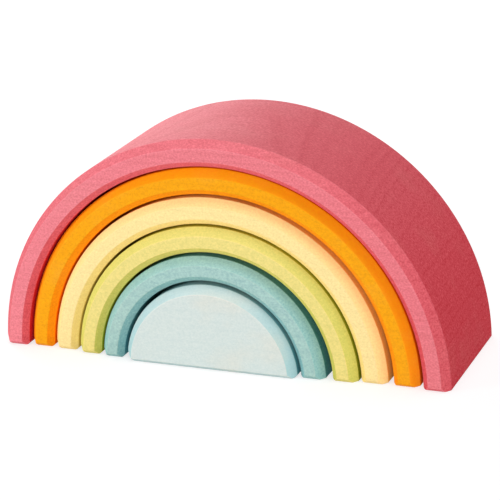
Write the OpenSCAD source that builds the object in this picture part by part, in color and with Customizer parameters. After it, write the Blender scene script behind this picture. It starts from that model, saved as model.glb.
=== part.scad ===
// Rainbow stacker: five half-ring arches nested round a half disc, all loose pieces of stained wood.
// Millimetres. +X runs across the rainbow, +Y goes to the back and +Z is up. The floor is z = 0,
// and the origin is the middle of the footprint.

/* [Block] */
// Outer radius of the pink arch, half the width of the toy
rainbow_radius = 85; // [75:0.5:130]
// Depth of every piece from its front face to its back face
depth = 60; // [40:0.5:90]
// Height of the sawn feet above the centre of the curves
foot_cut = 1.5; // [0:0.1:4]

/* [Walls] */
// Thickness of the pink arch
pink_wall = 9.65; // [7:0.05:11]
// Thickness of the orange arch
orange_wall = 9.2; // [7:0.05:11]
// Thickness of the yellow arch
yellow_wall = 9.35; // [7:0.05:11]
// Thickness of the green arch
green_wall = 9.1; // [7:0.05:11]
// Thickness of the teal arch
teal_wall = 8.8; // [7:0.05:11]

/* [Gaps] */
// Saw gap between the pink arch and the orange one
orange_gap = 1.1; // [0.8:0.05:2.5]
// Saw gap between the orange arch and the yellow one
yellow_gap = 1.4; // [0.8:0.05:2.5]
// Saw gap between the yellow arch and the green one
green_gap = 0.9; // [0.8:0.05:2.5]
// Saw gap between the green arch and the teal one
teal_gap = 1.6; // [0.8:0.05:2.5]
// Saw gap between the teal arch and the half disc
disc_gap = 1.2; // [0.8:0.05:2.5]

/* [Edges] */
// Width of the chamfer along the outer curved edges, seen from the front
outer_chamfer = 2.7; // [1:0.1:3.5]
// How far that chamfer reaches along the side, from the front and from the back
outer_chamfer_depth = 3.5; // [1:0.1:4.5]
// Chamfer along the inner curved edges, front and back
inner_chamfer = 2.2; // [1:0.1:3]
// Bevel along the front and back edges of the feet
foot_bevel = 1.5; // [0.5:0.1:3]
// Bevel along the inner edges of the arches' feet
inner_foot_bevel = 0.6; // [0.3:0.1:2.5]
// Bevel along the outer edge of each arch's left foot
left_foot_bevel = 2.6; // [0.3:0.1:4]
// Bevel across the left end of the half disc's base
disc_left_bevel = 3.5; // [0.3:0.1:5]
// Bevel across the right end of the half disc's base
disc_right_bevel = 1; // [0.3:0.1:5]

/* [Leaning] */
// Part of its gap that the orange arch is pushed to the left
orange_lean = 0.5; // [-0.7:0.05:0.7]
// Part of its gap that the yellow arch is pushed to the left
yellow_lean = 0.6; // [-0.7:0.05:0.7]
// Part of its gap that the green arch is pushed to the left
green_lean = 0.05; // [-0.7:0.05:0.7]
// Part of its gap that the teal arch is pushed to the left
teal_lean = 0.7; // [-0.7:0.05:0.7]
// Part of its gap that the half disc is pushed to the left, and right if below zero
disc_lean = -0.2; // [-0.7:0.05:0.7]

/* [Standing out] */
// How far the orange arch stands out in front of the pink one
orange_out = -1; // [-6:0.1:6]
// How far the yellow arch stands out in front of the pink one
yellow_out = -0.5; // [-6:0.1:6]
// How far the green arch stands out in front of the pink one
green_out = 0.9; // [-6:0.1:6]
// How far the teal arch stands out in front of the pink one
teal_out = 1.5; // [-6:0.1:6]
// How far the half disc stands out in front of the pink arch
disc_out = 3.5; // [-6:0.1:6]

/* [Hidden] */
$fn = 180;

// Inner and outer radii, from the outside in
pink_in = rainbow_radius - pink_wall;
orange_r = pink_in - orange_gap;
orange_in = orange_r - orange_wall;
yellow_r = orange_in - yellow_gap;
yellow_in = yellow_r - yellow_wall;
green_r = yellow_in - green_gap;
green_in = green_r - green_wall;
teal_r = green_in - teal_gap;
teal_in = teal_r - teal_wall;
disc_r = teal_in - disc_gap;

// Where each piece stands across, inside the piece around it
orange_x = -orange_lean * orange_gap;
yellow_x = orange_x - yellow_lean * yellow_gap;
green_x = yellow_x - green_lean * green_gap;
teal_x = green_x - teal_lean * teal_gap;
disc_x = teal_x - disc_lean * disc_gap;

// Front faces, placed so that the whole footprint is centred on y = 0
outs = [0, orange_out, yellow_out, green_out, teal_out, disc_out];
mid_out = (max(outs) + min(outs)) / 2;
pink_front = mid_out - depth / 2;
orange_front = pink_front - orange_out;
yellow_front = pink_front - yellow_out;
green_front = pink_front - green_out;
teal_front = pink_front - teal_out;
disc_front = pink_front - disc_out;

// Half the width at the floor of a curve of this radius
function at_floor(radius) = sqrt(radius * radius - foot_cut * foot_cut);

// Square bar on its edge: it takes a 45 degree bevel off an edge that runs along its length
module bevel_bar(bevel, length) {
    rotate([45, 0, 0]) cube([length, bevel * sqrt(2), bevel * sqrt(2)], center = true);
}

// Turned shape stood on the floor: sawn flat, with its front and back edges bevelled there.
// Each of ends is an edge along the depth, as its place across and its bevel.
// The cutting blocks are longer than the wood, so they pass right through it.
module on_floor(radius, x, front, ends) {
    across = 3 * radius;
    along = 2 * depth;
    middle = front + depth / 2;
    difference() {
        translate([x, front, -foot_cut]) rotate([-90, 0, 0]) children();
        translate([x, middle, -radius]) cube([across, along, 2 * radius], center = true);
        for (y = [front, front + depth])
            translate([x, y, 0]) bevel_bar(foot_bevel, across);
        for (e = ends)
            translate([x + e[0], middle, 0]) rotate([0, 0, 90]) bevel_bar(e[1], along);
    }
}

// Half ring with a chamfer on each of its four curved edges
module arch(radius, bore, x, front) {
    a = outer_chamfer;
    d = outer_chamfer_depth;
    b = inner_chamfer;
    w = at_floor(bore);
    ends = [[-at_floor(radius), left_foot_bevel], [-w, inner_foot_bevel], [w, inner_foot_bevel]];
    on_floor(radius, x, front, ends)
        rotate_extrude()
            polygon([[bore + b, 0], [radius - a, 0], [radius, d], [radius, depth - d],
                     [radius - a, depth], [bore + b, depth], [bore, depth - b], [bore, b]]);
}

module pink_arch() {
    color([0.95, 0.5, 0.53]) arch(rainbow_radius, pink_in, 0, pink_front);
}

module orange_arch() {
    color([0.98, 0.66, 0.13]) arch(orange_r, orange_in, orange_x, orange_front);
}

module yellow_arch() {
    color([1, 0.9, 0.62]) arch(yellow_r, yellow_in, yellow_x, yellow_front);
}

module green_arch() {
    color([0.94, 0.88, 0.53]) arch(green_r, green_in, green_x, green_front);
}

module teal_arch() {
    color([0.66, 0.8, 0.78]) arch(teal_r, teal_in, teal_x, teal_front);
}

// Solid half disc with a chamfer on its two curved edges
module half_disc() {
    a = outer_chamfer;
    d = outer_chamfer_depth;
    w = at_floor(disc_r);
    color([0.84, 0.89, 0.87])
        on_floor(disc_r, disc_x, disc_front, [[-w, disc_left_bevel], [w, disc_right_bevel]])
            rotate_extrude()
                polygon([[0, 0], [disc_r - a, 0], [disc_r, d], [disc_r, depth - d],
                         [disc_r - a, depth], [0, depth]]);
}

pink_arch();
orange_arch();
yellow_arch();
green_arch();
teal_arch();
half_disc();
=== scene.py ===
# %% [markdown]
# # A rainbow stacker in stained lime wood
# The toy is a half round block of wood, sawn along five arcs into five arches and one half disc.
# Every piece is stained its own colour and stands loose on its sawn feet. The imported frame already
# holds the six pieces at their real size. This lesson models each of them again with softened
# edges, gives them stained wood that shows its grain, and lights them as a studio would.

import math

import bmesh
import bpy
from mathutils import Matrix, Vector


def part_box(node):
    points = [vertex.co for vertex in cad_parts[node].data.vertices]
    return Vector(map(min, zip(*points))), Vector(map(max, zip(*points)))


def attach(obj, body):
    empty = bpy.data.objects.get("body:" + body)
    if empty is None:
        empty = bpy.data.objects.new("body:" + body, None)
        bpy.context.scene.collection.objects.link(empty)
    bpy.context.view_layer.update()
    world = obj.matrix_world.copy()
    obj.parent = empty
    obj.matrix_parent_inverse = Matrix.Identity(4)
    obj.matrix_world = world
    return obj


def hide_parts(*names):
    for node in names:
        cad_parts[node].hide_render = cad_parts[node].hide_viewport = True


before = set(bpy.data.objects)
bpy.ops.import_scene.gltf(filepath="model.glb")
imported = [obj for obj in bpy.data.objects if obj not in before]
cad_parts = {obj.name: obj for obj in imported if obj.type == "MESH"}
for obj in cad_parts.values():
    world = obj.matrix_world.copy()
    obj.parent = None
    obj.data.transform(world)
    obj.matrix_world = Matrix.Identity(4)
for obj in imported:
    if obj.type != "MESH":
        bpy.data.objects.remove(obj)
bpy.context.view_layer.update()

# %% [markdown]
# ## The camera
# The picture was taken from the right of the front and from a little above, with a long lens, so
# the arcs stay nearly round. The camera turns about the upright axis first, then tips down, and
# last it rolls a little about its own line of sight. One matrix product keeps that order, which
# three separate angles would not.

# %% Set up the camera
CAMERA_PLACE = (0.27175, -0.67322, 0.28664)
TURNED_RIGHT = math.radians(21.792)
TIPPED_DOWN = math.radians(19.146)
ROLLED = math.radians(-2.176)
LENS_MM = 153.19

camera = bpy.data.objects.new("camera", bpy.data.cameras.new("camera"))
bpy.context.scene.collection.objects.link(camera)
turn = Matrix.Rotation(TURNED_RIGHT, 4, "Z")
tip = Matrix.Rotation(math.radians(90) - TIPPED_DOWN, 4, "X")
roll = Matrix.Rotation(ROLLED, 4, "Z")
camera.matrix_world = Matrix.Translation(CAMERA_PLACE) @ turn @ tip @ roll
camera.data.lens = LENS_MM
bpy.context.scene.camera = camera
print("camera at", CAMERA_PLACE)

# %% [markdown]
# ## Sizes from the frame
# All the arcs have their centres at one height, a little below the floor, because the block was
# sawn flat just above it. The biggest arch shows how far below: a point at its right foot and one
# at its top lie on one circle, so both are equally far from the centre. Every other size is read
# off the points of each node in the same way, so nothing has to be typed twice and the looks
# follow the part if its sizes change.

# %% Find the centre of the arcs
CLOSE = 1e-5

rim_points = [v.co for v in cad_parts["pink_arch"].data.vertices]
foot = max(rim_points, key=lambda p: p.x)
top = max(rim_points, key=lambda p: p.z)
sunk = (foot.x ** 2 - top.x ** 2 - top.z ** 2) / (2 * top.z)
biggest_radius = math.hypot(foot.x, sunk)
print("the centre of the arcs lies", round(sunk * 1000, 2), "mm below the floor")


def at_floor(radius):
    """Half the width, at the floor, of an arc with this radius"""
    return math.sqrt(radius ** 2 - sunk ** 2)


# %% Measure one piece
def measure(node):
    """Sizes of a CAD node, in metres, from its own points"""
    points = [v.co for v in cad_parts[node].data.vertices]
    low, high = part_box(node)
    left = min(points, key=lambda p: p.x)
    right = max(points, key=lambda p: p.x)
    rise = (right.z + sunk) ** 2 - (left.z + sunk) ** 2
    centre = (right.x ** 2 - left.x ** 2 + rise) / (2 * (right.x - left.x))

    def from_centre(p):
        return math.hypot(p.x - centre, p.z + sunk)

    radius = from_centre(left)
    bore = min(from_centre(p) for p in points)
    face = [from_centre(p) for p in points if p.y < low.y + CLOSE]
    side = [p.y for p in points if from_centre(p) > radius - CLOSE]
    base = [p for p in points if p.z < CLOSE]
    return {
        "centre": centre,
        "radius": radius,
        "bore": bore,
        "front": low.y,
        "back": high.y,
        "outer_chamfer": radius - max(face),
        "chamfer_depth": min(side) - low.y,
        "inner_chamfer": min(face) - bore,
        "foot_bevel": min(p.y for p in base) - low.y,
        "inner_foot_bevel": min(abs(p.x - centre) for p in base) - at_floor(bore),
        "left_bevel": min(p.x for p in base) - centre + at_floor(radius),
        "right_bevel": centre + at_floor(radius) - max(p.x for p in base),
    }


# %% Measure all the pieces
ARCHES = ["pink_arch", "orange_arch", "yellow_arch", "green_arch", "teal_arch"]
DISC = "half_disc"
sizes = {}
for node in ARCHES + [DISC]:
    sizes[node] = measure(node)
    print(node, {key: round(value * 1000, 2) for key, value in sizes[node].items()})

# %% [markdown]
# ## Small helpers for edit mode
# By hand one would click the corners to work on. In a script they are picked by where they are.
# An operator works on all that is selected, so each pick clears the last one first.


# %% Pick points and cut with a plane
def pick(piece, test):
    """Selects the points of the piece, in edit mode, whose place passes the test"""
    bpy.ops.mesh.select_all(action="DESELECT")
    mesh = bmesh.from_edit_mesh(piece.data)
    for v in mesh.verts:
        v.select_set(test(v.co))
    mesh.select_flush(True)
    bmesh.update_edit_mesh(piece.data)


def saw(place, away):
    """Cuts the piece with a plane, drops what lies on the side away points to and closes the cut"""
    bpy.ops.mesh.select_all(action="SELECT")
    bpy.ops.mesh.bisect(plane_co=place, plane_no=away, use_fill=True, clear_outer=True)


def turn_faces_out():
    """Makes every face of the piece in edit mode look outwards"""
    bpy.ops.mesh.select_all(action="SELECT")
    bpy.ops.mesh.normals_make_consistent(inside=False)


def start_piece(name, across, front, back):
    """A flat sheet on the floor over the span across, from front to back, left in edit mode"""
    bpy.ops.object.select_all(action="DESELECT")
    middle = ((across[0] + across[1]) / 2, (front + back) / 2, 0)
    bpy.ops.mesh.primitive_plane_add(size=1, location=middle)
    piece = bpy.context.object
    piece.name = name
    piece.data.name = name
    piece.scale = (across[1] - across[0], back - front, 1)
    bpy.ops.object.transform_apply(location=True, rotation=True, scale=True)
    bpy.ops.object.mode_set(mode="EDIT")
    bpy.ops.mesh.select_mode(type="VERT")
    return piece


# %% [markdown]
# ## One arch
# A real arch is sawn out along two arcs, and then its four long edges are planed off, the outer
# ones a little further along the side than across the front. A plain torus or a bent box could
# give the arc, but the flat feet and the even chamfers come out best from a spin: the foot's own
# outline, lying on the floor, is turned about the centre line of the arcs up to the top, and a
# mirror makes the other half. The first step of the turn is a short block, higher than the bevels
# of the foot, so that they are cut before the turn goes on. Only the left foot has its outer edge
# cut off as well. The mirror would copy that cut to the right, so it comes last.

# %% Spin the foot up to the top
CLEAR_OF_BEVEL = 0.0011
FACET = 0.0015


def spin(angle, steps):
    """Turns what is selected about the centre line of the arcs"""
    bpy.ops.mesh.spin(steps=steps, angle=angle, center=(0, 0, -sunk), axis=(0, 1, 0))


def rise_angle(radius, rise):
    """The turn that lifts a point at this radius from the floor to the height of the rise"""
    return math.asin((sunk + rise) / radius) - math.asin(sunk / radius)


def spin_to_top(radius, lowest, turned):
    """Goes on turning up to the middle plane of the arch and flattens the end there"""
    start = (math.asin(sunk / lowest) + math.asin(sunk / radius)) / 2
    rest = math.radians(90) - start - turned
    steps = round(radius * rest / FACET)
    spin(rest, steps)
    bpy.ops.transform.resize(value=(0, 1, 1), center_override=(0, 0, 0))
    return steps


# %% Plane the corners, close the flats and mirror
def plane_corners(piece, size, outside, test):
    """Cuts the outer corners of the sheet and slides the cuts along the side to their depth"""
    pick(piece, test)
    bpy.ops.mesh.bevel(offset=size["outer_chamfer"], affect="VERTICES", segments=1)
    pick(piece, lambda p: p.x > outside - CLOSE)
    length = size["back"] - size["front"]
    shorter = (length - 2 * size["chamfer_depth"]) / (length - 2 * size["outer_chamfer"])
    middle = (0, (size["front"] + size["back"]) / 2, 0)
    bpy.ops.transform.resize(value=(1, shorter, 1), center_override=middle)


def fill_flat(piece, test):
    """Closes the flat opening whose points pass the test with one face"""
    pick(piece, test)
    bpy.ops.mesh.edge_face_add()


def mirror_half(piece):
    """Makes the left half from the right one and joins the two at the top"""
    bpy.ops.object.mode_set(mode="OBJECT")
    mirror = piece.modifiers.new("other half", "MIRROR")
    mirror.use_clip = True
    mirror.merge_threshold = CLOSE
    bpy.ops.object.modifier_apply(modifier=mirror.name)
    bpy.ops.object.mode_set(mode="EDIT")
    bpy.ops.mesh.select_all(action="SELECT")
    bpy.ops.mesh.remove_doubles(threshold=CLOSE)
    turn_faces_out()


# %% [markdown]
# ## Softened edges
# Sanded wood has no knife edges. A Bevel modifier rounds every edge that turns sharply, in three
# small steps, and hardens the normals so that the flat faces stay flat. It also gives the new
# faces a slot of their own. That tells us which points lie on a rounded edge, and we keep it as an
# attribute: hands and sandpaper rub the stain thinner there, so the finish needs to know.

# %% Soften the edges and mark them
EDGE_ROUND = 0.0003
EDGE_STEPS = 3
SHARP = math.radians(25)


def soften(piece):
    """Rounds the sharp edges and stores, for each point, whether it lies on a rounded edge"""
    bpy.ops.object.mode_set(mode="OBJECT")
    bpy.ops.object.shade_smooth()
    piece.data.materials.append(None)
    piece.data.materials.append(None)
    bevel = piece.modifiers.new("sanded edges", "BEVEL")
    bevel.limit_method = "ANGLE"
    bevel.angle_limit = SHARP
    bevel.width = EDGE_ROUND
    bevel.segments = EDGE_STEPS
    bevel.harden_normals = True
    bevel.material = 1
    bpy.ops.object.modifier_apply(modifier=bevel.name)
    mesh = piece.data
    rubbed = [1.0] * len(mesh.vertices)
    for face in mesh.polygons:
        if face.material_index == 0:
            for corner in face.vertices:
                rubbed[corner] = 0.0
        face.material_index = 0
    mesh.attributes.new("rubbed", "FLOAT", "POINT").data.foreach_set("value", rubbed)
    mesh.materials.clear()
    print(piece.name, "has", len(mesh.polygons), "faces,", int(sum(rubbed)), "points on rounded edges")


# %% Put a finished piece in its place
def settle(piece, size, node):
    """Moves a finished piece to its place and lets it stand for its CAD node"""
    piece.location.x = size["centre"]
    bpy.ops.object.transform_apply(location=True, rotation=True, scale=True)
    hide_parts(node)
    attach(piece, node)


# %% Make the five arches
def make_arch(node):
    """One half ring that stands for the node"""
    size = sizes[node]
    inside = at_floor(size["bore"])
    outside = at_floor(size["radius"])
    middle = (inside + outside) / 2
    name = node.replace("_arch", "_half_ring")
    piece = start_piece(name, (inside, outside), size["front"], size["back"])
    plane_corners(piece, size, outside, lambda p: p.x > middle)
    pick(piece, lambda p: p.x < middle)
    bpy.ops.mesh.bevel(offset=size["inner_chamfer"], affect="VERTICES", segments=1)
    bpy.ops.mesh.select_all(action="SELECT")
    rise = size["foot_bevel"] + CLEAR_OF_BEVEL
    turned = rise_angle(size["bore"], rise)
    spin(turned, 1)
    fill_flat(piece, lambda p: p.z < CLOSE)
    saw((0, size["front"] + size["foot_bevel"], 0), (0, -1, -1))
    saw((0, size["back"] - size["foot_bevel"], 0), (0, 1, -1))
    saw((inside + size["inner_foot_bevel"], 0, 0), (-1, 0, -1))
    pick(piece, lambda p: p.z > rise - CLOSE)
    steps = spin_to_top(size["radius"], size["bore"], turned)
    bpy.ops.mesh.delete(type="ONLY_FACE")
    mirror_half(piece)
    saw((size["left_bevel"] - outside, 0, 0), (-1, 0, -1))
    turn_faces_out()
    soften(piece)
    settle(piece, size, node)
    print(node, "was turned in", 2 * steps, "steps")
    return piece


pieces = {}
for node in ARCHES:
    pieces[node] = make_arch(node)

# %% [markdown]
# ## The half disc
# The core of the block is solid, so only its rim is turned: an edge along the depth, with a
# chamfer at either end, is spun to the top. It starts as a sheet that reaches further in than the
# chamfers, because a corner can't be cut back to the very end of its edge, and then all but the
# rim's outline is deleted. After the mirror the front, the back and the base are filled as flat
# faces. Last come the bevels along the base, bigger at the left end than at the right, as the
# sandpaper left them.


# %% Make the half disc
def make_disc(node):
    """The solid core, which stands for the node"""
    size = sizes[node]
    front = size["front"]
    back = size["back"]
    outside = at_floor(size["radius"])
    rim = outside - size["outer_chamfer"]
    piece = start_piece("core_half_disc", (rim / 2, outside), front, back)
    plane_corners(piece, size, outside, lambda p: p.x > outside - CLOSE)
    bpy.ops.mesh.select_all(action="SELECT")
    bpy.ops.mesh.delete(type="ONLY_FACE")
    pick(piece, lambda p: p.x < rim - CLOSE)
    bpy.ops.mesh.delete(type="VERT")
    bpy.ops.mesh.select_all(action="SELECT")
    turned = rise_angle(size["radius"], size["left_bevel"] + CLEAR_OF_BEVEL)
    spin(turned, 1)
    steps = spin_to_top(size["radius"], size["radius"], turned)
    mirror_half(piece)
    fill_flat(piece, lambda p: p.y < front + CLOSE)
    fill_flat(piece, lambda p: p.y > back - CLOSE)
    fill_flat(piece, lambda p: p.z < CLOSE)
    saw((0, front + size["foot_bevel"], 0), (0, -1, -1))
    saw((0, back - size["foot_bevel"], 0), (0, 1, -1))
    saw((size["left_bevel"] - outside, 0, 0), (-1, 0, -1))
    saw((outside - size["right_bevel"], 0, 0), (1, 0, -1))
    turn_faces_out()
    soften(piece)
    settle(piece, size, node)
    print(node, "was turned in", 2 * steps, "steps")
    return piece


pieces[DISC] = make_disc(DISC)

# %% [markdown]
# ## Nodes in short
# Materials are trees of nodes. A few helpers keep them readable: they add a node with its settings,
# a step of arithmetic, a mix of two colours, some noise or an empty group. Each of them takes plain
# values or the outputs of other nodes.


# %% Helpers for node trees
def add_node(tree, kind, **settings):
    """A new node in the tree with these settings"""
    made = tree.nodes.new(kind)
    for key, value in settings.items():
        setattr(made, key, value)
    return made


def feed(tree, socket, value):
    """Links an output to the socket, or writes a plain value into it"""
    if isinstance(value, bpy.types.NodeSocket):
        tree.links.new(value, socket)
    else:
        socket.default_value = value


def calc(tree, operation, *values):
    """The output of one step of arithmetic"""
    made = add_node(tree, "ShaderNodeMath", operation=operation)
    for socket, value in zip(made.inputs, values):
        feed(tree, socket, value)
    return made.outputs["Value"]


# %% Mix colours, split vectors and make noise
def blend(tree, factor, first, second, clamp=True):
    """A mix of two colours"""
    made = add_node(tree, "ShaderNodeMix", data_type="RGBA", clamp_factor=clamp)
    feed(tree, made.inputs["Factor"], factor)
    feed(tree, made.inputs["A"], first)
    feed(tree, made.inputs["B"], second)
    return made.outputs["Result"]


def split(tree, vector):
    """A node that gives the X, Y and Z of a vector"""
    made = add_node(tree, "ShaderNodeSeparateXYZ")
    tree.links.new(vector, made.inputs[0])
    return made


def noise(tree, place, waves, **inputs):
    """Noise about zero with so many waves to the millimetre along each axis"""
    moved = add_node(tree, "ShaderNodeVectorMath", operation="MULTIPLY")
    feed(tree, moved.inputs[0], place)
    feed(tree, moved.inputs[1], waves)
    made = add_node(tree, "ShaderNodeTexNoise")
    feed(tree, made.inputs["Vector"], moved.outputs["Vector"])
    feed(tree, made.inputs["Scale"], 1.0)
    for key, value in inputs.items():
        feed(tree, made.inputs[key], value)
    return calc(tree, "SUBTRACT", made.outputs["Fac"], 0.5)


# %% Start a node group
def new_group(name, inputs, outputs):
    """An empty node group with these sockets, each given as its name and its kind"""
    tree = bpy.data.node_groups.new(name, "ShaderNodeTree")
    for way, sockets in (("INPUT", inputs), ("OUTPUT", outputs)):
        for socket, kind in sockets.items():
            tree.interface.new_socket(socket, in_out=way, socket_type="NodeSocket" + kind)
    return tree


# %% [markdown]
# ## The wood under the stain
# Lime is a pale, even wood. Its growth layers lie one above another here, because the block was
# cut with its fibres running across the rainbow and the heart of the tree below it. So they show
# as faint level lines on the front and as lines along the depth where the saw cut across them.
# All the pieces come from one block: a pattern in object coordinates runs on from each piece to
# the next, as it does in the real toy. A picture could not do that, and it would have seams.

# %% Draw the growth layers
HEART_Y = 10.0
HEART_Z = -330.0
LAYER = 2.6
DRIFT_WAVES = (0.004, 0.006, 0.030)
DRIFT_YEARS = 5.0
RIPPLE_WAVES = (0.020, 0.030, 0.120)
RIPPLE_YEARS = 0.7
LATE_WOOD_STARTS = 0.35
LATE_WOOD_DARKEST = 0.88


def late_wood(tree, age):
    """A dark line at the end of each year, stronger in some years than in others"""
    year = add_node(tree, "ShaderNodeTexWhiteNoise", noise_dimensions="1D")
    tree.links.new(calc(tree, "FLOOR", age), year.inputs["W"])
    line = add_node(tree, "ShaderNodeValToRGB")
    line.color_ramp.interpolation = "EASE"
    line.color_ramp.elements[0].position = LATE_WOOD_STARTS
    line.color_ramp.elements[0].color = (0, 0, 0, 1)
    line.color_ramp.elements[1].position = LATE_WOOD_DARKEST
    line.color_ramp.elements[1].color = (1, 1, 1, 1)
    end = line.color_ramp.elements.new(1.0)
    end.color = (0, 0, 0, 1)
    tree.links.new(calc(tree, "FRACT", age), line.inputs["Fac"])
    return calc(tree, "MULTIPLY", line.outputs["Color"], year.outputs["Value"])


def growth_layers(tree, place):
    """Layers round the heart of the tree, which wander as the tree grew"""
    part = split(tree, place)
    off_y = calc(tree, "SUBTRACT", part.outputs["Y"], HEART_Y)
    off_z = calc(tree, "SUBTRACT", part.outputs["Z"], HEART_Z)
    squares = calc(tree, "ADD", calc(tree, "POWER", off_y, 2.0), calc(tree, "POWER", off_z, 2.0))
    age = calc(tree, "DIVIDE", calc(tree, "SQRT", squares), LAYER)
    drift = noise(tree, place, DRIFT_WAVES, Detail=1.0)
    ripple = noise(tree, place, RIPPLE_WAVES, Detail=2.0)
    age = calc(tree, "MULTIPLY_ADD", drift, DRIFT_YEARS, age)
    age = calc(tree, "MULTIPLY_ADD", ripple, RIPPLE_YEARS, age)
    return late_wood(tree, age)


# %% Build the lime wood group
MM_PER_METRE = 1000
FIBRE_WAVES = (0.060, 1.000, 1.000)
PORE_WAVES = (1.300, 1.600, 1.600)
CLOUD_WAVES = (0.035, 0.060, 0.060)
LAYER_THIRST = 0.06
FIBRE_THIRST = 0.15
PORE_THIRST = 0.75
FIBRE_HEIGHT = 0.8
PORE_HEIGHT = 0.8
LAYER_HEIGHT = 0.35


def wood_group():
    """Node group for the grain: where the wood drinks more stain, and how it stands proud"""
    tree = new_group("lime wood grain", {}, {"Thirst": "Float", "Cloud": "Float", "Height": "Float"})
    out = add_node(tree, "NodeGroupOutput")
    coords = add_node(tree, "ShaderNodeTexCoord")
    in_mm = add_node(tree, "ShaderNodeVectorMath", operation="SCALE")
    tree.links.new(coords.outputs["Object"], in_mm.inputs[0])
    feed(tree, in_mm.inputs["Scale"], MM_PER_METRE)
    place = in_mm.outputs["Vector"]

    layers = growth_layers(tree, place)
    fibres = noise(tree, place, FIBRE_WAVES, Detail=2.0, Roughness=0.6)
    pores = noise(tree, place, PORE_WAVES, Detail=2.0, Roughness=0.6)
    cloud = noise(tree, place, CLOUD_WAVES, Detail=3.0, Roughness=0.55)

    thirst = calc(tree, "MULTIPLY", layers, LAYER_THIRST)
    thirst = calc(tree, "MULTIPLY_ADD", fibres, FIBRE_THIRST, thirst)
    thirst = calc(tree, "MULTIPLY_ADD", pores, PORE_THIRST, thirst)
    height = calc(tree, "MULTIPLY", pores, PORE_HEIGHT)
    height = calc(tree, "MULTIPLY_ADD", fibres, FIBRE_HEIGHT, height)
    height = calc(tree, "MULTIPLY_ADD", layers, LAYER_HEIGHT, height)
    feed(tree, out.inputs["Thirst"], thirst)
    feed(tree, out.inputs["Cloud"], cloud)
    feed(tree, out.inputs["Height"], height)
    print("grain group:", len(tree.nodes), "nodes")
    return tree


lime_wood = wood_group()

# %% [markdown]
# ## Sawn curves and chamfers
# The sawn curves are rough and drink more stain, all but the rim of the biggest arch, which was
# sanded. They also lie in the gaps between the pieces, so their deeper colour is partly painted
# shade. The inner chamfers, which face the next piece, are given a deeper colour as painted shade.
# The outer chamfers are planed, and they are made a little lighter, which is painted light. A mask
# painted by hand would have to be painted again for every piece. The way a surface faces tells
# these places apart as well: a sawn curve faces sideways, a chamfer is slanted, and it belongs to
# an outer edge if it faces away from the axis of the arcs.

# %% Tell the sawn curves and the chamfers apart
SANDED_RIM = 0.0005
SIDEWAYS = 0.1


def curve_marks(tree, facing, spot):
    """1 on a sawn curve, and a slant that is above 0 on outer chamfers and below it on inner ones"""
    above = calc(tree, "ADD", spot.outputs["Z"], sunk)
    squares = calc(tree, "POWER", spot.outputs["X"], 2.0)
    from_axis = calc(tree, "SQRT", calc(tree, "MULTIPLY_ADD", above, above, squares))
    inside = calc(tree, "LESS_THAN", from_axis, biggest_radius - SANDED_RIM)
    front = calc(tree, "POWER", facing.outputs["Y"], 2.0)
    sawn = calc(tree, "MULTIPLY", inside, calc(tree, "LESS_THAN", front, SIDEWAYS))
    slant = calc(tree, "MULTIPLY", front, calc(tree, "MULTIPLY_ADD", front, -4.0, 4.0))
    outward = calc(tree, "MULTIPLY", facing.outputs["X"], spot.outputs["X"])
    outward = calc(tree, "MULTIPLY_ADD", facing.outputs["Z"], above, outward)
    slant = calc(tree, "MULTIPLY", slant, calc(tree, "DIVIDE", outward, from_axis))
    return sawn, slant


# %% [markdown]
# ## The stain
# The colour is a thin water stain, so the wood stays visible through it. End grain drinks more of
# it than the flat grain of the front: the colour goes deep where the surface faces along the
# fibres, which is the X axis, and a little deeper where it faces up, as on the curved tops. Rubbed
# edges hold less. On the sawn curves and the inner chamfers the colour is raised to a power: twice
# the stain lets through the square of the light, so the colour grows purer as it grows deeper,
# while black mixed in would only grey it. On the sawn curves this is partly stain they drink and
# partly painted shade in the gaps between the pieces; on the inner chamfers it is painted shade.
# One group does all this, and every material gives it two colours of its own. Six copies of the
# same nodes would look alike but would drift apart with the first change.

# %% Work out how deep the stain is
TOP_DEPTH = 0.4


def stain_depth(tree, given, facing, spot, grain):
    """0 for the thin stain and 1 for the deep one"""
    end_grain = calc(tree, "POWER", facing.outputs["X"], 2.0)
    top_grain = calc(tree, "POWER", facing.outputs["Z"], 2.0)
    # a little deeper where the surface faces up or down
    depth = calc(tree, "MULTIPLY_ADD", top_grain, TOP_DEPTH, end_grain)
    depth = calc(tree, "ADD", depth, grain)
    # deeper towards the right; only the pink stain has any
    share = calc(tree, "DIVIDE", spot.outputs["X"], biggest_radius)
    depth = calc(tree, "MULTIPLY_ADD", share, given.outputs["Rightward depth"], depth)
    rubbed = add_node(tree, "ShaderNodeAttribute", attribute_name="rubbed")
    wear = calc(tree, "MULTIPLY", rubbed.outputs["Fac"], given.outputs["Rubbed"])
    return calc(tree, "SUBTRACT", depth, wear)


# %% Soak and shade the colour
# the sawn curves deepen partly for the stain they drink, partly as painted shade in the gaps
SAWN_STAIN_AND_SHADE = 0.6
# the inner chamfers deepen as painted shade, where light bounces between the pieces
INNER_PAINTED_SHADE = 0.28
PORE_SHADE = 0.4


def soak_and_paint_shade(tree, colour, sawn, slant):
    """Deeper colour: stain and painted shade on sawn curves, painted shade on inner chamfers"""
    inner = calc(tree, "MINIMUM", slant, 0.0)
    # partly painted shade: the sawn curves lie in the gaps between the pieces
    power = calc(tree, "MULTIPLY_ADD", sawn, SAWN_STAIN_AND_SHADE, 1.0)
    # painted shade: the inner chamfers face the next piece
    power = calc(tree, "MULTIPLY_ADD", inner, -INNER_PAINTED_SHADE, power)
    deepened = add_node(tree, "ShaderNodeGamma")
    feed(tree, deepened.inputs["Color"], colour)
    feed(tree, deepened.inputs["Gamma"], power)
    return deepened.outputs["Color"]


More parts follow.
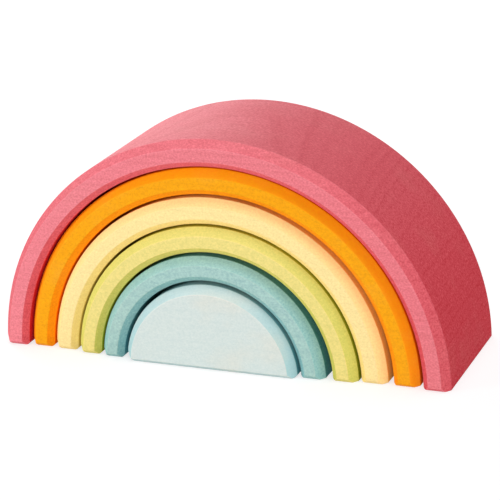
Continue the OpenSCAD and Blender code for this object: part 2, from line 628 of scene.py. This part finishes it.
def shade(tree, colour, grain, slant, painted_chamfer_light):
    """The colour with darker pores, and outer chamfers made lighter as painted light"""
    outer = calc(tree, "MAXIMUM", slant, 0.0)
    light = calc(tree, "MULTIPLY_ADD", grain, -PORE_SHADE, 1.0)
    # painted light: outer chamfers are made lighter by each stain's own amount
    light = calc(tree, "MULTIPLY_ADD", outer, painted_chamfer_light, light)
    shaded = add_node(tree, "ShaderNodeVectorMath", operation="SCALE")
    feed(tree, shaded.inputs[0], colour)
    feed(tree, shaded.inputs["Scale"], light)
    return shaded.outputs["Vector"]


# %% Build the stain group
STAIN_INPUTS = {
    "Thin stain": "Color", "Deep stain": "Color", "Bare wood": "Color",
    "Grain": "Float", "Patches": "Float", "Rightward depth": "Float", "Painted chamfer light": "Float", "Rubbed": "Float",
}
STAIN_OUTPUTS = {"Color": "Color", "Roughness": "Float", "Height": "Float"}
ROUGH = 0.58
ROUGH_GRAIN = 0.25
ROUGH_END_GRAIN = 0.12


def stain_group():
    """Node group for stained wood: colour, roughness and the height of its grain"""
    tree = new_group("water stain", STAIN_INPUTS, STAIN_OUTPUTS)
    given = add_node(tree, "NodeGroupInput")
    out = add_node(tree, "NodeGroupOutput")
    wood = add_node(tree, "ShaderNodeGroup", node_tree=lime_wood)
    coords = add_node(tree, "ShaderNodeTexCoord")
    facing = split(tree, coords.outputs["Normal"])
    spot = split(tree, coords.outputs["Object"])
    grain = calc(tree, "MULTIPLY", wood.outputs["Thirst"], given.outputs["Grain"])
    sawn, slant = curve_marks(tree, facing, spot)

    depth = stain_depth(tree, given, facing, spot, grain)
    dyed = blend(tree, depth, given.outputs["Thin stain"], given.outputs["Deep stain"], clamp=False)
    pale = calc(tree, "MAXIMUM", wood.outputs["Cloud"], 0.0)
    bare = calc(tree, "MULTIPLY", pale, given.outputs["Patches"])
    colour = blend(tree, bare, dyed, given.outputs["Bare wood"])
    colour = soak_and_paint_shade(tree, colour, sawn, slant)
    colour = shade(tree, colour, grain, slant, given.outputs["Painted chamfer light"])
    feed(tree, out.inputs["Color"], colour)

    end_grain = calc(tree, "POWER", facing.outputs["X"], 2.0)
    rough = calc(tree, "MULTIPLY_ADD", wood.outputs["Thirst"], ROUGH_GRAIN, ROUGH)
    rough = calc(tree, "MULTIPLY_ADD", end_grain, ROUGH_END_GRAIN, rough)
    feed(tree, out.inputs["Roughness"], rough)
    feed(tree, out.inputs["Height"], wood.outputs["Height"])
    print("stain group:", len(tree.nodes), "nodes")
    return tree


water_stain = stain_group()

# %% [markdown]
# ## Six colours
# Each stain is written as an sRGB colour, thin and deep, and turned into the linear light that the
# shader counts in. Grain says how strongly a stain shows the grain, patches how much bare wood
# shines through, rightward depth how much deeper it is to the right, and painted chamfer light how
# much lighter its outer chamfers are made, as painted light. Only the pink one grows deeper to the
# right.


# %% Write down the six stains
def linear(*levels):
    """An sRGB colour, as levels up to 255, in linear light"""
    light = []
    for level in levels:
        share = level / 255
        light.append(share / 12.92 if share <= 0.04045 else ((share + 0.055) / 1.055) ** 2.4)
    return (*light, 1)


BARE_WOOD = linear(238, 222, 200)
STAINS = {
    "pink_arch": {
        "slot": "pink_stain", "thin": (235, 127, 137), "deep": (217, 74, 85),
        "grain": 1.3, "patches": 0.15, "rightward_depth": 0.14, "painted_chamfer_light": 0.11,
    },
    "orange_arch": {
        "slot": "orange_stain", "thin": (248, 166, 14), "deep": (255, 157, 20),
        "grain": 1.5, "patches": 0.1, "rightward_depth": 0.0, "painted_chamfer_light": 0.33,
    },
    "yellow_arch": {
        "slot": "yellow_stain", "thin": (254, 229, 160), "deep": (255, 230, 153),
        "grain": 1.3, "patches": 0.1, "rightward_depth": 0.0, "painted_chamfer_light": 0.25,
    },
    "green_arch": {
        "slot": "green_stain", "thin": (238, 221, 134), "deep": (194, 201, 85),
        "grain": 0.7, "patches": 0.1, "rightward_depth": 0.0, "painted_chamfer_light": 0.21,
    },
    "teal_arch": {
        "slot": "teal_stain", "thin": (166, 202, 197), "deep": (130, 186, 194),
        "grain": 1.4, "patches": 0.2, "rightward_depth": 0.0, "painted_chamfer_light": 0.28,
    },
    "half_disc": {
        "slot": "blue_stain", "thin": (213, 225, 222), "deep": (145, 200, 206),
        "grain": 0.42, "patches": 1.2, "rightward_depth": 0.0, "painted_chamfer_light": 0.22,
    },
}
print(len(STAINS), "stains")

# %% Make the six materials
GLOSS = 0.1
RUBBED_OFF = 0.2
GRAIN_RELIEF = 0.1
GRAIN_HEIGHT = 0.0001


def stained(slot, thin, deep, grain, patches, rightward_depth, painted_chamfer_light):
    """Material of wood in one stain"""
    material = bpy.data.materials.new(slot)
    material.use_nodes = True
    tree = material.node_tree
    surface = tree.nodes["Principled BSDF"]
    surface.inputs["Specular IOR Level"].default_value = GLOSS
    stain = add_node(tree, "ShaderNodeGroup", node_tree=water_stain)
    feed(tree, stain.inputs["Thin stain"], linear(*thin))
    feed(tree, stain.inputs["Deep stain"], linear(*deep))
    feed(tree, stain.inputs["Bare wood"], BARE_WOOD)
    feed(tree, stain.inputs["Grain"], grain)
    feed(tree, stain.inputs["Patches"], patches)
    feed(tree, stain.inputs["Rightward depth"], rightward_depth)
    # painted light on the outer chamfers
    feed(tree, stain.inputs["Painted chamfer light"], painted_chamfer_light)
    feed(tree, stain.inputs["Rubbed"], RUBBED_OFF)
    tree.links.new(stain.outputs["Color"], surface.inputs["Base Color"])
    tree.links.new(stain.outputs["Roughness"], surface.inputs["Roughness"])
    bump = add_node(tree, "ShaderNodeBump")
    bump.inputs["Strength"].default_value = GRAIN_RELIEF
    bump.inputs["Distance"].default_value = GRAIN_HEIGHT
    tree.links.new(stain.outputs["Height"], bump.inputs["Height"])
    tree.links.new(bump.outputs["Normal"], surface.inputs["Normal"])
    return material


for node, stain in STAINS.items():
    pieces[node].data.materials.append(stained(**stain))
print("stained", len(STAINS), "pieces")

# %% [markdown]
# ## Light and ground
# The toy stands in a white studio. The main lamp is low and to the left of the front, so the
# fronts are bright, the left edges brighter still and the right sides in shade. A second lamp, just
# as low, stands to the right of the front, a weak one at the right side opens the shade there, one
# hangs overhead and one lights the back, and the white room adds a little from all round. The
# ground glows for the camera alone, so it shows as white and still keeps a soft shadow.

# %% Room light
ROOM_LIGHT = 0.1


def seen_directly(tree):
    """1 where the camera, a reflection or glass looks, 0 where light is gathered"""
    path = add_node(tree, "ShaderNodeLightPath")
    seen = calc(tree, "MAXIMUM", path.outputs["Is Camera Ray"], path.outputs["Is Glossy Ray"])
    return calc(tree, "MAXIMUM", seen, path.outputs["Is Transmission Ray"])


world = bpy.data.worlds.new("white room")
world.use_nodes = True
bpy.context.scene.world = world
room = world.node_tree
glow = room.nodes["Background"]
glow.inputs["Color"].default_value = (1, 1, 1, 1)
level = calc(room, "MULTIPLY_ADD", seen_directly(room), 1 - ROOM_LIGHT, ROOM_LIGHT)
feed(room, glow.inputs["Strength"], level)
print("room light", ROOM_LIGHT)

# %% Soft lamps
LAMP_AWAY = 1.32


def soft_lamp(name, turned, raised, wide, watts):
    """A round lamp that faces the toy, turned right from the front and raised, in degrees"""
    light = bpy.data.lights.new(name, "AREA")
    light.shape = "DISK"
    light.size = wide
    light.energy = watts
    lamp = bpy.data.objects.new(name, light)
    bpy.context.scene.collection.objects.link(lamp)
    level = LAMP_AWAY * math.cos(math.radians(raised))
    lamp.location.x = level * math.sin(math.radians(turned))
    lamp.location.y = -level * math.cos(math.radians(turned))
    lamp.location.z = LAMP_AWAY * math.sin(math.radians(raised))
    lamp.rotation_euler = (-lamp.location).to_track_quat("-Z", "Y").to_euler()
    print(name, [round(value, 2) for value in lamp.location], watts, "W")
    return lamp


soft_lamp("main lamp", turned=-50, raised=9.5, wide=0.4, watts=7.3)
soft_lamp("front lamp", turned=22, raised=9.5, wide=0.4, watts=6.1)
soft_lamp("side lamp", turned=80, raised=30, wide=0.6, watts=3.3)
soft_lamp("overhead lamp", turned=0, raised=90, wide=0.9, watts=6.9)
soft_lamp("back lamp", turned=-140, raised=25, wide=0.9, watts=8.0)

# %% Ground
GROUND_SIZE = 6.0
GROUND_GLOW = 0.72
GROUND_FOR_LIGHT = (0.8, 0.8, 0.8, 1)
GROUND_FOR_CAMERA = (0.4, 0.4, 0.4, 1)

bpy.ops.object.select_all(action="DESELECT")
bpy.ops.mesh.primitive_plane_add(size=GROUND_SIZE, location=(0, 0, 0))
ground = bpy.context.object
ground.name = "ground"
paper = bpy.data.materials.new("white paper")
paper.use_nodes = True
tree = paper.node_tree
tree.nodes.clear()
seen = seen_directly(tree)
plain = add_node(tree, "ShaderNodeBsdfDiffuse")
feed(tree, plain.inputs["Color"], GROUND_FOR_LIGHT)
pale = add_node(tree, "ShaderNodeBsdfDiffuse")
feed(tree, pale.inputs["Color"], GROUND_FOR_CAMERA)
white = add_node(tree, "ShaderNodeEmission")
feed(tree, white.inputs["Strength"], GROUND_GLOW)
lit = add_node(tree, "ShaderNodeAddShader")
tree.links.new(pale.outputs["BSDF"], lit.inputs[0])
tree.links.new(white.outputs["Emission"], lit.inputs[1])
choice = add_node(tree, "ShaderNodeMixShader")
feed(tree, choice.inputs["Fac"], seen)
tree.links.new(plain.outputs["BSDF"], choice.inputs[1])
tree.links.new(lit.outputs["Shader"], choice.inputs[2])
surface = add_node(tree, "ShaderNodeOutputMaterial")
tree.links.new(choice.outputs["Shader"], surface.inputs["Surface"])
ground.data.materials.append(paper)
print("ground", GROUND_SIZE, "m wide")

bpy.context.scene.view_settings.view_transform = "Standard"
